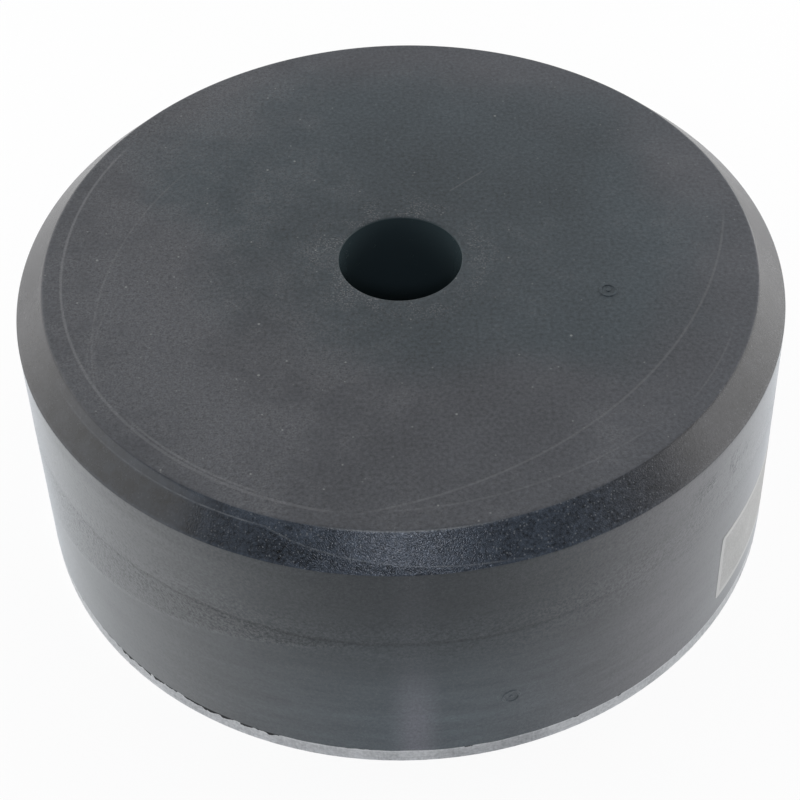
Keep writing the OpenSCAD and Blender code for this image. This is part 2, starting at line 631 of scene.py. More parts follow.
# %% Measure the label
LABEL_CORNER_R = 1.0 * MM
LABEL_GAP = 0.02 * MM
LABEL_STRIP = 1.0 * MM
LABEL_THICKNESS = 0.16 * MM
label_from = math.asin(label_low.y / (BLOCK_R + LABEL_GAP))
label_to = math.asin(label_high.y / (BLOCK_R + LABEL_GAP))
LABEL_MIDDLE = (label_from + label_to) / 2
LABEL_W = (label_to - label_from) * BLOCK_R
LABEL_H = label_high.z - label_low.z
LABEL_Z = (label_high.z + label_low.z) / 2
LABEL_RIPPLE = 0.03 * MM
LABEL_RIPPLE_LENGTH = 7 * MM
PEEL_REACH = 9.0 * MM
PEEL_LIFT = 0.10 * MM
print(f"label {LABEL_W / MM:.1f} by {LABEL_H / MM:.1f} mm")

# %% [markdown]
# A flat sheet of one face can't bend. Parallel cuts both ways give it rows of vertices, and each
# vertex is then put where the wall is at its azimuth.

# %% Make the label


def cut_into_strips(mesh, across, length, spacing):
    """Cuts a flat sheet by parallel planes, so that it has rows of vertices to bend at."""
    count = int(length / spacing)
    for index in range(1, count):
        place = across * (length * index / count - length / 2)
        everything = mesh.verts[:] + mesh.edges[:] + mesh.faces[:]
        bmesh.ops.bisect_plane(mesh, geom=everything, plane_co=place, plane_no=across)


def roll_on_wall(flat):
    """Where a point of the flat label comes to lie on the wall, lifted at its peeling corner."""
    corner = Vector((-LABEL_W / 2, LABEL_H / 2, 0))
    lift = PEEL_LIFT * smoothstep(PEEL_REACH, 0, (flat - corner).length)
    ripple = LABEL_RIPPLE * (1 + noise.noise(flat / LABEL_RIPPLE_LENGTH))
    azimuth = LABEL_MIDDLE + flat.x / BLOCK_R
    radius = BLOCK_R + LABEL_GAP + lift + ripple
    return Vector((radius * math.cos(azimuth), radius * math.sin(azimuth), LABEL_Z + flat.y))


label = bmesh.new()
bmesh.ops.create_grid(label, x_segments=1, y_segments=1, size=0.5)
bmesh.ops.scale(label, vec=(LABEL_W, LABEL_H, 1), verts=label.verts[:])
bmesh.ops.bevel(
    label, geom=label.verts[:], offset=LABEL_CORNER_R, offset_type="OFFSET", segments=4, profile=0.5,
    affect="VERTICES", material=-1,
)
cut_into_strips(label, Vector((1, 0, 0)), LABEL_W, LABEL_STRIP)
cut_into_strips(label, Vector((0, 1, 0)), LABEL_H, 2 * LABEL_STRIP)
for vertex in label.verts:
    vertex.co = roll_on_wall(vertex.co)
bmesh.ops.recalc_face_normals(label, faces=label.faces[:])
bmesh.ops.solidify(label, geom=label.faces[:], thickness=-LABEL_THICKNESS)
bmesh.ops.recalc_face_normals(label, faces=label.faces[:])
label_film = make_piece("label_film", label)

# %% [markdown]
# ## Mould pips
#
# A moulding often carries a small raised mark for each cavity of its mould. The buffer has one on its
# face and one low on its wall, each a plain ring with a dot in it. Half of the mark's outline is spun
# about its own axis, and the result is turned and moved to its seat.

# %% Make the pips
PIP_DOT_R = 0.5 * MM
PIP_RING_INNER_R = 1.8 * MM
PIP_RING_OUTER_R = 2.3 * MM
PIP_DRAFT = 0.3 * MM
PIP_HEIGHT = 0.25 * MM
PIP_ROOT = 0.4 * MM
PIP_STEPS = 32
FACE_PIP_PLACE = (52.7 * MM, -15 * MM)
WALL_PIP_AZIMUTH = -76.3
WALL_PIP_Z = 21.7 * MM


def draw_pip(mesh):
    """Spins the outline of a ring with a dot in its middle about the Z axis."""
    half_outline = [
        (0, PIP_HEIGHT),
        (PIP_DOT_R, PIP_HEIGHT),
        (PIP_DOT_R + PIP_DRAFT, -PIP_ROOT),
        (PIP_RING_INNER_R - PIP_DRAFT, -PIP_ROOT),
        (PIP_RING_INNER_R, PIP_HEIGHT),
        (PIP_RING_OUTER_R, PIP_HEIGHT),
        (PIP_RING_OUTER_R + PIP_DRAFT, -PIP_ROOT),
    ]
    points = [mesh.verts.new((radius, 0, height)) for radius, height in half_outline]
    for point, following in zip(points, points[1:]):
        mesh.edges.new((point, following))
    spin_round(mesh, PIP_STEPS)


def make_pip(name, seat, outwards):
    """Makes a mould pip that stands on a seat and points outwards."""
    mesh = bmesh.new()
    draw_pip(mesh)
    aim = UP.rotation_difference(outwards).to_matrix().to_4x4()
    bmesh.ops.transform(mesh, matrix=Matrix.Translation(seat) @ aim, verts=mesh.verts[:])
    return make_piece(name, mesh)


def wall_seat(azimuth, height):
    """A point on the wall and the direction that points straight out of it."""
    outwards = Vector((math.cos(math.radians(azimuth)), math.sin(math.radians(azimuth)), 0))
    return outwards * BLOCK_R + UP * height, outwards


face_pip = make_pip("face_pip", Vector((*FACE_PIP_PLACE, FACE_Z)), UP)
wall_pip = make_pip("wall_pip", *wall_seat(WALL_PIP_AZIMUTH, WALL_PIP_Z))

# %% [markdown]
# ## Helpers for the finishes
#
# Every finish starts from the object's own coordinates, in metres, because all pieces share one
# frame. A round object is easier to describe by the distance from its axis and the azimuth, so two
# helpers work those out.

# %% Start a finish


def start_finish(name, ior):
    """A new material with its shader and the object coordinates to build on."""
    material = bpy.data.materials.new(name)
    material.use_nodes = True
    shader = material.node_tree.nodes["Principled BSDF"]
    shader.inputs["IOR"].default_value = ior
    place = Signal(material.node_tree).node("ShaderNodeTexCoord", output="Object")
    return material, shader, place


def add_second_shader(material, shader, factor, ior):
    """Mixes a second shader into a material. It shows where the factor is 1."""
    tree = material.node_tree
    second = tree.nodes.new("ShaderNodeBsdfPrincipled")
    second.inputs["IOR"].default_value = ior
    ends = {0: factor, 1: Signal(tree, shader.outputs["BSDF"]), 2: Signal(tree, second.outputs["BSDF"])}
    factor.node("ShaderNodeMixShader", {}, ends).feed(tree.nodes["Material Output"], "Surface")
    return second


def split(place):
    """The x, y and z of a place."""
    return tuple(place.node("ShaderNodeSeparateXYZ", {}, {0: place}, axis) for axis in "XYZ")


def from_axis(x, y):
    """The distance from the axis of the buffer."""
    return (x ** 2 + y ** 2) ** 0.5


def azimuth_of(x, y):
    """The azimuth in degrees, from +X towards +Y."""
    return y.maths("ARCTAN2", y, x) * math.degrees(1)


print("a finish can be started")

# %% [markdown]
# Noise and speck patterns are given by their size on the object, which is easier to judge than a
# scale. A few more helpers mix colours by a mask, draw a line and turn a height into a normal.

# %% Write the patterns and the mixers


def stretched(place, x, y, z):
    """The same place on an object that is stretched along its axes."""
    return place.node("ShaderNodeVectorMath", {"operation": "MULTIPLY"}, {0: place, 1: (x, y, z)})


def cloud(place, size, detail=2.0, roughness=0.5):
    """Soft noise around 0.5, with patches of a given size."""
    inputs = {"Vector": place, "Scale": 1 / size, "Detail": detail, "Roughness": roughness}
    return place.node("ShaderNodeTexNoise", {}, inputs)


def specks(place, spacing, size, share):
    """1 in small round specks, one in each cell, in a share of all cells."""
    inputs = {"Vector": place, "Scale": 1 / spacing}
    distance = place.node("ShaderNodeTexVoronoi", {}, inputs, "Distance")
    colour = place.node("ShaderNodeTexVoronoi", {}, inputs, "Color")
    chosen = colour.node("ShaderNodeSeparateXYZ", {}, {0: colour}, "X")
    dot = 1 - smoothstep(0.5 * size / spacing, size / spacing, distance)
    return dot * smoothstep(1 - share, 1.02 - share, chosen)


def tint(factor, low, high):
    """A colour between two, by a factor from 0 to 1. Each colour is a triple or a socket."""
    ends = {key: value if isinstance(value, Signal) else (*value, 1) for key, value in ((6, low), (7, high))}
    return factor.node("ShaderNodeMix", {"data_type": "RGBA"}, {0: factor, **ends}, 2)


def shade(colour, factor):
    """A colour, as a triple or a socket, made lighter or darker by a factor."""
    settings = {"operation": "SCALE"}
    return factor.node("ShaderNodeVectorMath", settings, {0: colour, "Scale": factor})


def line(distance, half_width):
    """1 on a line and 0 beside it, from the distance to the line."""
    return 1 - smoothstep(0.3 * half_width, half_width, abs(distance))


def bump(height, strength=1.0):
    """A normal from a height in metres."""
    return height.node("ShaderNodeBump", {}, {"Strength": strength, "Distance": 1.0, "Height": height})


print("patterns and mixers are ready")

# %% [markdown]
# ## The elastomer
#
# Cast polyurethane with carbon black in it is a warm to bluish dark grey. The face was moulded against
# a blasted insert and is matt, the wall ran down a smoother mould and has a dusty sheen, and the
# chamfer lies between the two. Masks from the distance to the axis and the height say which of the
# surfaces a point is on. Each surface then gets a recipe of its own: a colour, a roughness and a
# height for its relief.

# %% Name the surfaces of the elastomer


class Skin(NamedTuple):
    """What a surface looks like: its colour, its roughness and the height of its relief."""

    colour: Signal
    rough: Signal
    height: Signal


def zones(z, radius):
    """Masks of the face, the wall and the bore. What is left is the chamfer."""
    face = smoothstep(FACE_Z - 0.55 * MM, FACE_Z - 0.25 * MM, z)
    face = face * (1 - smoothstep(FACE_R - 0.05 * MM, FACE_R + 0.25 * MM, radius))
    below_edge = 1 - smoothstep(WALL_TOP - 0.2 * MM, WALL_TOP + 0.15 * MM, z)
    wall = below_edge * smoothstep(BLOCK_R - 4 * MM, BLOCK_R - 3 * MM, radius)
    bore = 1 - smoothstep(BORE_R, BORE_R + 0.4 * MM, radius)
    return face, wall, bore


def scratch(x, y, start, end, half_width):
    """1 along a straight scratch on the face."""
    run = Vector(end) - Vector(start)
    along = ((x - start[0]) * run.x + (y - start[1]) * run.y) / run.length_squared
    beside = ((y - start[1]) * run.x - (x - start[0]) * run.y) / run.length
    ends = smoothstep(0.0, 0.1, along) * (1 - smoothstep(0.9, 1.0, along))
    return ends * line(beside, half_width)


print("surfaces of the elastomer: face, chamfer, wall, bore")

# %% [markdown]
# The face is the surface that shows most. Its colour drifts from bluish round the bore and on the far
# side to a warmer grey, and pale dust lies on its left half and along its edge, in a fine grain. The
# steps of the mould show as hairlines, a few flecks of dirt stick to it, and the tool that drove the
# bolt scuffed the edge of the bore. A hairline is an arc, half its width in millimetres and its
# strength.

# %% Name the colours and the lines of the face
FACE_BLUISH = (0.0450, 0.0580, 0.0670)
FACE_VIOLET = (0.0550, 0.0582, 0.0660)
DUST_COLOUR = (0.153, 0.154, 0.160)
FLECK_COLOUR = (0.30, 0.31, 0.30)
SCRATCH_START = (13.4 * MM, 25.7 * MM)
SCRATCH_END = (23.5 * MM, 34.4 * MM)
SCRATCH_HALF_WIDTH = 0.3 * MM
HAIRLINES = [
    (RING_LINE, 0.55, 1.2), (RING_TWIN, 0.45, 1.1), (SWEEP_LINE, 0.45, 0.9), (FRONT_LINE, 0.4, 0.6),
    (RIGHT_LINE, 0.35, 0.7), (LEFT_LINE, 0.4, 0.7), (LOOP_LINE, 0.4, 0.45), (HOOK_LINE, 0.4, 0.4),
]


def hairlines(x, y, azimuth):
    """All hairlines on the face together, each fading at its ends."""
    return sum(
        strength * shown(azimuth, arc) * line(outside(x, y, arc), half * MM)
        for arc, half, strength in HAIRLINES
    )


print("hairlines on the face:", len(HAIRLINES))

# %% [markdown]
# Dust, scuffs and flecks each get a small function that says where they lie. They could all come from
# one noise, but each has its own reason: dust settles, a tool scuffs, and dirt sticks where dust is.

# %% Say where the face is dusty, scuffed and bluish


def face_dust(x, y, radius, patches, mottle):
    """How much dust lies at a place: more on the left and towards the edge, in patches."""
    left = smoothstep(15 * MM, -45 * MM, x + 0.25 * y)
    towards_edge = smoothstep(50 * MM, 92 * MM, radius)
    cover = 0.22 + 0.50 * left + 0.12 * towards_edge + 1.7 * (patches - 0.5) + 1.4 * (mottle - 0.5)
    return smoothstep(0.25, 1.1, cover)


def face_scuffs(place, radius, fine):
    """Fine scuffs round the mouth of the bore, in patches."""
    near_bore = 1 - smoothstep(BORE_R + 1 * MM, BORE_R + 13 * MM, radius)
    return near_bore * smoothstep(0.54, 0.68, fine) * smoothstep(0.42, 0.62, cloud(place, 9 * MM))


def face_flecks(place, mottle, dust):
    """Flecks of dirt: many small ones where dust lies, and a few larger ones everywhere."""
    small = specks(place, 2.4 * MM, 0.34 * MM, 0.40) * smoothstep(0.42, 0.62, mottle)
    return small * (0.5 + 0.5 * dust) + 0.9 * specks(place, 7.0 * MM, 0.45 * MM, 0.35)


def bare_face(place, radius, azimuth):
    """The colour of the clean face: bluish round the bore and on the far side, warmer elsewhere."""
    reach = 34 * MM * window(azimuth, 60, 125, 45)
    outer = smoothstep(26 * MM, 58 * MM, radius - reach + 50 * MM * (cloud(place, 40 * MM) - 0.5))
    return tint(outer, FACE_BLUISH, FACE_VIOLET)


print("face colours:", FACE_BLUISH, FACE_VIOLET)

# %% [markdown]
# The recipe starts from clouds of four sizes, from broad patches to a grain finer than half a
# millimetre. The bare colour is made lighter or darker by them, and then the dust, the lines, the
# scratch and the scuffs are laid over it as one pale coat.

# %% Write the recipe of the face


def face_skin(place, x, y, radius, azimuth):
    """The recipe of the strike face."""
    patches = cloud(place, 34 * MM, 3.0)
    mottle = cloud(place, 6 * MM, 4.0, 0.6)
    grain = cloud(place, 1.0 * MM, 3.0, 0.7)
    fine = cloud(place, 0.45 * MM, 1.0)

    inner = 1 - smoothstep(-0.3 * MM, 0.3 * MM, outside(x, y, RING_LINE)) * shown(azimuth, RING_LINE)
    dust = face_dust(x, y, radius, patches, mottle)
    lines = hairlines(x, y, azimuth) * (0.5 + cloud(place, 4 * MM))
    cut = scratch(x, y, SCRATCH_START, SCRATCH_END, SCRATCH_HALF_WIDTH)
    scuffs = face_scuffs(place, radius, fine)
    flecks = face_flecks(place, mottle, dust)

    far_edge = smoothstep(68 * MM, 92 * MM, radius) * smoothstep(-20 * MM, 60 * MM, x + 0.6 * y)
    tone = 0.80 + 0.25 * smoothstep(20 * MM, 70 * MM, radius) + 0.28 * far_edge + 0.7 * (patches - 0.5)
    tone = tone + (1.9 + 0.6 * dust * inner) * (grain - 0.5)
    pale = 0.20 * dust + 1.3 * dust * (fine - 0.5) + 0.33 * lines + 0.28 * cut + 0.7 * scuffs
    colour = tint(pale, shade(bare_face(place, radius, azimuth), tone), DUST_COLOUR)
    colour = tint(0.6 * flecks, colour, FLECK_COLOUR)
    rough = 0.50 + 0.10 * (mottle - 0.5)
    height = MM * (0.09 * grain * inner + 0.03 * lines + 0.06 * scuffs + 0.05 * flecks)
    return Skin(colour, rough, height)


print(f"scratch on the face: {math.dist(SCRATCH_START, SCRATCH_END) / MM:.1f} mm long")

# %% [markdown]
# The chamfer is glossier than the face, and its grain throws small sparks at the front by its bumps and
# roughness; pale specks painted into its colour there are painted glints. A fold runs round its left half
# as a pale hairline and slides down to the lower edge. A pale line along the upper edge at the front is a
# painted highlight. The colour is painted darker on two stretches where the side lamps shine on it, and
# lighter along the lower edge, which shades dark: painted shade and painted light.

# %% Write the recipe of the chamfer
CHAMFER_BLUISH = (0.0390, 0.0485, 0.0630)
CHAMFER_NEUTRAL = (0.0475, 0.0468, 0.0500)
CREASE_AND_GLINT_COLOUR = (0.16, 0.17, 0.18)


def chamfer_skin(place, radius, azimuth):
    """The recipe of the chamfer."""
    mottle = cloud(place, 5 * MM, 4.0, 0.6)
    grain = cloud(place, 0.8 * MM, 2.0)
    fine = cloud(place, 0.36 * MM, 1.0)
    sparkle = 0.15 + 0.85 * window(azimuth, -86, 42, 24) + 0.25 * window(azimuth, -38, 36, 18)
    past_crease = radius - crease_radius(azimuth)
    below = smoothstep(0, 0.5 * MM, past_crease) * crease_shown(azimuth)
    crease = line(past_crease, 0.20 * MM) * crease_shown(azimuth)
    crease = crease * (0.3 + 0.7 * smoothstep(-136, -118, azimuth))
    # Painted glints: pale specks in the colour where the flash's highlight falls, beside the real sparks
    # from bumps and roughness.
    painted_sparks = specks(place, 0.8 * MM, 0.26 * MM, 0.35) * sparkle

    # Painted light: lighter along the lower edge, where it shades dark towards the wall.
    painted_light_edge = smoothstep(BLOCK_R - 0.9 * MM, BLOCK_R - 0.3 * MM, radius)
    # Painted shade: darker on two stretches where the side lamps' reflections lie.
    painted_shade = window(azimuth, -145, 32, 20) + window(azimuth, -20, 20, 12)
    tone = 0.95 - 0.25 * below - 0.45 * painted_shade + 1.1 * (mottle - 0.5) + 2.3 * (grain - 0.5) * sparkle
    tone = tone + 0.3 * painted_light_edge
    colour = shade(tint(window(azimuth, -102, 60, 30), CHAMFER_NEUTRAL, CHAMFER_BLUISH), tone)
    broken = smoothstep(0.30, 0.70, cloud(place, 3.0 * MM))
    # Painted highlight: a pale glint along the upper edge at the front.
    wear_and_glint = line(radius - FACE_R - 0.1 * MM, 0.45 * MM) * window(azimuth, FRONT, 16, 10)
    pale = crease * (0.15 + 0.40 * broken) + 0.75 * painted_sparks + 1.2 * wear_and_glint * (0.25 + fine)
    colour = tint(pale, colour, CREASE_AND_GLINT_COLOUR)
    rough = 0.25 - 0.04 * below + 0.10 * (mottle - 0.5) + 0.40 * (fine - 0.5) * sparkle
    height = MM * (0.045 * grain + (0.08 + 0.04 * below) * fine) * sparkle + 0.04 * MM * crease * broken
    return Skin(colour, rough, height)


print("chamfer colours:", CHAMFER_BLUISH, CHAMFER_NEUTRAL)

# %% [markdown]
# The wall shows how the block was poured. A dark line goes round it where the second pour met the
# first, with a coarse tongue below it on the left, a faint pale line climbs at the right, and a smear
# lies high above that. Their masks share one mottle, which makes their edges ragged.

# %% Say where the marks lie on the wall


class WallMarks(NamedTuple):
    """The marks of the pour on the wall, each as a mask."""

    above: Signal
    seam: Signal
    near_seam: Signal
    tongue: Signal
    tongue_edge: Signal
    rising: Signal
    smear: Signal


def wall_marks(z, azimuth, mottle):
    """Where the marks of the pour lie: above the dark line, on it, near it, and so on."""
    off = z - flow_height(azimuth) + 2.5 * MM * (mottle - 0.5)
    above = smoothstep(-1.5 * MM, 1.5 * MM, off)
    up_tongue = z - tongue_height(azimuth)
    return WallMarks(
        above=above,
        seam=line(off, 0.8 * MM) * flow_shown(azimuth),
        near_seam=1 - smoothstep(3 * MM, 10 * MM, abs(off)),
        tongue=smoothstep(-1 * MM, 1 * MM, up_tongue) * (1 - above) * tongue_shown(azimuth),
        tongue_edge=line(up_tongue, 0.7 * MM) * tongue_shown(azimuth),
        rising=line(z - rising_height(azimuth), 0.7 * MM) * window(azimuth, -44, 18, 8),
        smear=smoothstep(0.45, 0.60, mottle) * window(azimuth, -39, 10, 7) * line(z - 62 * MM, 6 * MM),
    )


print("marks on the wall:", ", ".join(WallMarks._fields))

# %% [markdown]
# Faint streaks and bands follow the pour. A pale stripe down the front is a painted highlight, where the
# flash near the camera shines on the wall. The wall's colour is darker at the front than at the sides, and
# lighter towards the foot, which is painted light from the bright floor. The tone is a sum that could fall
# below zero in the darkest specks, so a smooth maximum holds it just above.

# %% Write the recipe of the wall
WALL_LEFT = (0.0370, 0.0390, 0.0405)
WALL_RIGHT = (0.0402, 0.0388, 0.0420)
WALL_FRONT = (0.0325, 0.0392, 0.0432)
# The pale stripe down the front is a painted highlight of the flash near the camera.
HIGHLIGHT_STRIPE_COLOUR = (0.335, 0.33, 0.375)
HIGHLIGHT_STRIPE_AZIMUTH = -89.9
HIGHLIGHT_STRIPE_HALF = 4.4
HIGHLIGHT_STRIPE_FADE = 4.3
DARKEST_TONE = 0.05
TONE_SOFTNESS = 0.4


def wall_lightness(z, azimuth, front):
    """How light the wall is: darker at the front, painted lighter at the foot as light from the floor."""
    foot = 1 - smoothstep(6 * MM, 66 * MM, z)
    low_right = window(azimuth, -58, 26, 16)
    return 1.75 - 1.45 * front + foot * (0.25 + 1.6 * front + 2.6 * front * front + 0.5 * low_right)


def wall_skin(place, z, azimuth):
    """The recipe of the wall, and the share of its dusty shader."""
    patches = cloud(place, 30 * MM, 3.0)
    mottle = cloud(place, 6 * MM, 4.0, 0.6)
    grain = cloud(place, 0.8 * MM, 3.0, 0.7)
    streaks = cloud(stretched(place, 0.12, 0.12, 1), 1.6 * MM, 3.0, 0.6)
    bands = cloud(stretched(place, 0.2, 0.2, 1), 5 * MM, 3.0, 0.6)
    marks = wall_marks(z, azimuth, mottle)
    coarse = 0.35 + 0.25 * marks.above + 0.40 * marks.near_seam + 1.05 * marks.tongue + marks.smear
    speckle = coarse * (grain - 0.5)

    front = window(azimuth, FRONT, 42, 40)
    # The tone below is the wall's lightness by place, with painted floor light at the foot, less on the
    # tongue and the smear.
    dust = wall_lightness(z, azimuth, front) - 0.5 * marks.tongue - 0.7 * marks.smear
    drift = 0.5 * (patches - 0.5) + 0.45 * (streaks - 0.5) + 0.7 * (bands - 0.5)
    lines = (0.6 * marks.tongue_edge - 1.1 * marks.seam) * mottle + 0.35 * marks.rising
    tone = dust * (1 + drift) + 2.9 * speckle + lines
    sides = tint(window(azimuth, -10, 90, 40), WALL_LEFT, WALL_RIGHT)
    colour = tint(front, sides, WALL_FRONT)
    colour = shade(colour, tone.maths("SMOOTH_MAX", tone, DARKEST_TONE, TONE_SOFTNESS))
    # Painted highlight: a pale stripe down the front, where the flash shines on the wall.
    painted_highlight_stripe = window(azimuth, HIGHLIGHT_STRIPE_AZIMUTH, HIGHLIGHT_STRIPE_HALF, HIGHLIGHT_STRIPE_FADE)
    painted_highlight_stripe = painted_highlight_stripe * (1 - 0.92 * smoothstep(12 * MM, 44 * MM, z))
    colour = tint(painted_highlight_stripe * (0.80 + 0.9 * (grain - 0.5)), colour, HIGHLIGHT_STRIPE_COLOUR)
    rough = 0.42 - 0.06 * marks.above + 0.15 * (streaks - 0.5) + 0.12 * (patches - 0.5) + 0.3 * speckle
    height = MM * (0.08 * coarse * grain + 0.02 * mottle + 0.012 * streaks - 0.03 * marks.seam)
    sheen_share = 0.99 - 0.47 * front + 1.1 * speckle + 0.15 * (streaks - 0.5) - 0.12 * marks.smear
    return Skin(colour, rough, height), sheen_share


print("wall colours:", WALL_LEFT, WALL_FRONT, WALL_RIGHT)

# %% [markdown]
# The three recipes are blended by the masks. The wall gets a shader of its own for its dusty sheen, because
# a sheen has to be a plain number on a shader's socket for the exported model to keep it.
# The share of that shader in the mix varies with the speckle and streaks and is smaller at the front, which
# darkens the front.

# %% Finish the elastomer
WALL_BARE = (0.004, 0.014, 0.023)
BORE_COLOUR = (0.040, 0.058, 0.064)


def finish_elastomer():
    """The material of the block."""
    material, shader, place = start_finish("cast elastomer", 1.43)
    x, y, z = split(place)
    radius = from_axis(x, y)
    azimuth = azimuth_of(x, y)
    face, wall, bore = zones(z, radius)
    on_face = face_skin(place, x, y, radius, azimuth)
    on_chamfer = chamfer_skin(place, radius, azimuth)
    on_wall, sheen_share = wall_skin(place, z, azimuth)

    colour = tint(face, on_chamfer.colour, on_face.colour)
    tint(bore, tint(wall, colour, WALL_BARE), BORE_COLOUR).feed(shader, "Base Color")
    (face * on_face.rough + (1 - face) * on_chamfer.rough).feed(shader, "Roughness")

    skirt = add_second_shader(material, shader, wall * sheen_share, 1.5)
    skirt.inputs["Sheen Weight"].default_value = 0.76
    skirt.inputs["Sheen Roughness"].default_value = 0.4
    skirt.inputs["Sheen Tint"].default_value = (0.96, 0.99, 1.0, 1)
    on_wall.colour.feed(skirt, "Base Color")
    on_wall.rough.feed(skirt, "Roughness")

    height = face * on_face.height + wall * on_wall.height
    normal = bump(height + (1 - face - wall) * on_chamfer.height)
    normal.feed(shader, "Normal")
    normal.feed(skirt, "Normal")
    return material


elastomer = finish_elastomer()
print("elastomer:", len(elastomer.node_tree.nodes), "nodes")

# %% [markdown]
# ## The steel
#
# The plate is cut from sheet. Its rim has two bands: the upper one is smooth and bright, and the lower
# one, about 1.3 mm high, is where the cut broke through and is rougher, with a dark line where the two
# meet. Just under the lip, the rim is painted lighter, a painted highlight along its top edge. The flat
# underside stays a plain satin.

# %% Finish the steel
STEEL_COLOUR = (0.74, 0.75, 0.76)
STEEL_DARK = (0.33, 0.34, 0.355)
BREAK_Z = 1.3 * MM


def finish_steel():
    """The material of the base plate."""
    material, shader, place = start_finish("cut steel", 1.45)
    x, y, z = split(place)
    rim = smoothstep(PLATE_R - 0.6 * MM, PLATE_R - 0.3 * MM, from_axis(x, y))
    streaks = cloud(stretched(place, 1, 1, 0.12), 0.5 * MM, 2.0)
    rings = cloud(stretched(place, 0.05, 0.05, 1), 0.35 * MM, 2.0)
    blotches = cloud(place, 11 * MM, 3.0, 0.6)
    grit = cloud(place, 0.9 * MM, 2.0, 0.6)
    torn = 1 - smoothstep(BREAK_Z - 0.15 * MM, BREAK_Z + 0.05 * MM, z)
    seam = line(z - BREAK_Z - 0.15 * MM * (blotches - 0.5), 0.28 * MM)
    # Painted highlight: the rim is made lighter just under the lip.
    painted_edge_highlight = smoothstep(LIP_Z - 1.0 * MM, LIP_Z - 0.3 * MM, z)
    # Real wear of the steel, in blotches.
    wear_and_glint = smoothstep(0.35, 0.65, blotches)
    soiled = 1.2 * (grit - 0.5) + 0.3 * window(azimuth_of(x, y), -78, 11, 8)
    marked = 0.10 * seam + 0.24 * torn * (streaks - 0.9) + 0.45 * (1 - wear_and_glint) * streaks
    dark = 0.15 + rim * (marked + soiled - 0.25 * painted_edge_highlight) + 0.2 * (rings - 0.5)
    tint(dark, STEEL_COLOUR, STEEL_DARK).feed(shader, "Base Color")
    rough = 0.38 + 0.14 * rim * torn + 0.10 * (streaks - 0.5) + 0.08 * (blotches - 0.5)
    rough.feed(shader, "Roughness")
    rim_height = 0.02 * streaks + 0.04 * torn * streaks - 0.03 * seam
    bump(MM * (rim * rim_height + 0.004 * rings)).feed(shader, "Normal")
    shader.inputs["Metallic"].default_value = 1.0
    return material


steel = finish_steel()
print("steel:", len(steel.node_tree.nodes), "nodes")

# %% [markdown]
# ## The adhesive and the flash
#
# The bonding film and the torn flash are both nearly black, so one function makes both finishes. The
# film cured to a satin skin, and the flash is rough where it tore.

# %% Finish the black films


def finish_black(name, colour, roughness, tear):
    """A nearly black film, with a grain that says how torn its surface is."""
    material, shader, place = start_finish(name, 1.5)
    grain = cloud(place, 0.6 * MM, 3.0, 0.6)
    tint(grain, colour, tuple(2.2 * part for part in colour)).feed(shader, "Base Color")
    (roughness + 0.2 * (grain - 0.5)).feed(shader, "Roughness")
    bump(tear * grain).feed(shader, "Normal")
    return material


adhesive = finish_black("cured adhesive", (0.010, 0.010, 0.011), 0.35, 0.01 * MM)
flash_skin = finish_black("torn flash skin", (0.006, 0.007, 0.008), 0.7, 0.08 * MM)
print("black films:", adhesive.name, "and", flash_skin.name)

# %% [markdown]
# ## The label's film
#
# The film is a faded satin grey. Its border is a little brighter, where dirt hasn't settled, and the
# field inside is speckled by dust from the pit.

# %% Finish the label
FILM_COLOUR = (0.56, 0.56, 0.55)
FIELD_COLOUR = (0.39, 0.39, 0.38)
BORDER = 1.6 * MM
BORDER_FADE = 0.2 * MM


def inside_border(distance, length):
    """1 inside the border, from the distance to the middle and the length of the label's side."""
    reach = length / 2 - BORDER
    return 1 - smoothstep(reach - BORDER_FADE, reach, distance)


def finish_label():
    """The material of the label."""
    material, shader, place = start_finish("label film", 1.46)
    x, y, z = split(place)
    along = abs(azimuth_of(x, y) - math.degrees(LABEL_MIDDLE)) * math.radians(1) * BLOCK_R
    field = inside_border(along, LABEL_W) * inside_border(abs(z - LABEL_Z), LABEL_H)
    speckle = cloud(place, 0.7 * MM, 2.0, 0.6)
    soil = cloud(place, 8 * MM, 3.0)
    amount = field * (0.6 + 1.6 * (speckle - 0.5) + 0.5 * (soil - 0.5))
    tint(amount, FILM_COLOUR, FIELD_COLOUR).feed(shader, "Base Color")
    (0.42 + 0.15 * (soil - 0.5) + 0.1 * field * speckle).feed(shader, "Roughness")
    bump(0.01 * MM * speckle).feed(shader, "Normal")
    return material


film = finish_label()
print("label film:", len(film.node_tree.nodes), "nodes")

# %% [markdown]
# ## Put the pieces together
#
# A carried-over piece keeps its mesh and only gets a material. A new piece rides on the one body that
# the buffer has. Each is listed with a material slot, which the loop doesn't use. The pieces of the model
# that the moulded block and the label's film stand in for are hidden.

# %% Dress the pieces


def paint(piece, material):
    """Gives a piece one material."""
    piece.data.materials.clear()
    piece.data.materials.append(material)
    return piece


for piece, material, slot in (
    (moulded_block, elastomer, "elastomer"),
    (torn_flash, flash_skin, "elastomer"),
    (face_pip, elastomer, "elastomer"),
    (wall_pip, elastomer, "elastomer"),
    (label_film, film, "label"),
):
    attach(paint(piece, material), "root")
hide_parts("elastomer_block")
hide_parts("type_label")

for node, material in (("base_plate", steel), ("bonding_layer", adhesive)):
    for material_slot in frame["nodes"][node].material_slots:
        material_slot.material = material

# %% [markdown]
# ## The studio
#
# The buffer stands on a white sheet, between two large soft lamps at its sides, with a weaker one
# above it and a small flash behind the camera, which lights the sparks on the chamfer. The camera's
# side of the room is dim, and so the middle of the wall is dark while both sides shine. The floor is
# white for the camera by Is Camera Ray, and keeps a part of its lit colour so that the buffer still
# throws a shadow on it.

# %% Lay the floor
FLOOR_SIZE = 8.0
FLOOR_COLOUR = (0.9, 0.9, 0.9, 1)
FLOOR_WHITE_SEEN = 0.92
FLOOR_WHITE_MIRRORED = 0.15


